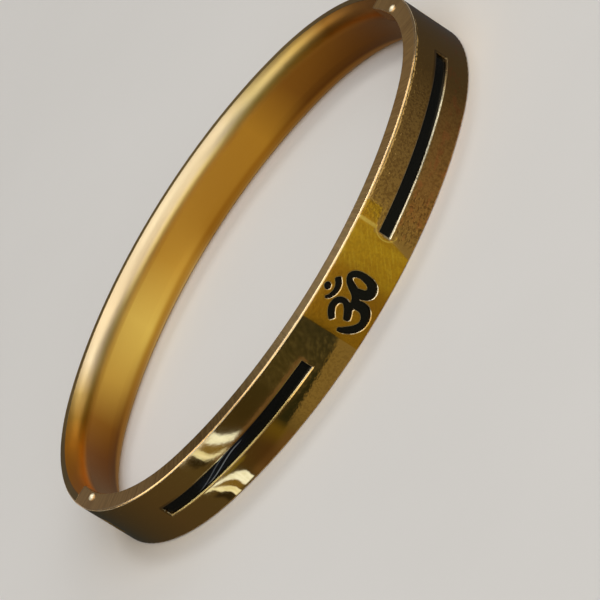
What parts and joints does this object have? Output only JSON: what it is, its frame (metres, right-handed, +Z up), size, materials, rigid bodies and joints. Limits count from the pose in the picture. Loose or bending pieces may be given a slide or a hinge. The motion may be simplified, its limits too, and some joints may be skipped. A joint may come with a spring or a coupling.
{
  "type": "hinged kada bangle",
  "caption": "Rigid oval bangle with a flat band, a black enamel sign and slots sunk in its face, a hinge at one end and a catch at the other.",
  "frame": {"origin": "on the surface that the bangle lies on, under the middle of its box", "axes": "+X from the hinge end to the clasp end, -Y out of the face with the sign, +Z up along the width of the band"},
  "size_m": [0.0694, 0.0564, 0.0083],
  "materials": {
    "gold_polished": "polished",
    "gold_satin": "satin",
    "black_enamel": "dark enamel"
  },
  "bodies": {
    "front_half": {"front_band": "gold_polished", "left_slot_enamel": "black_enamel", "right_slot_enamel": "black_enamel", "sign_body_enamel": "black_enamel", "sign_crescent_enamel": "black_enamel", "sign_dot_enamel": "black_enamel", "hinge_pin": "gold_polished", "catch_pin": "gold_polished"},
    "back_half": {"back_band": "gold_satin"}
  },
  "joints": [
    {"name": "hinge", "type": "hinge", "parent": "front_half", "child": "back_half", "pos_m": [-0.03309, -0.0027, 0.004], "axis": [0, 0, 1], "range_deg": [0, 60]}
  ]
}
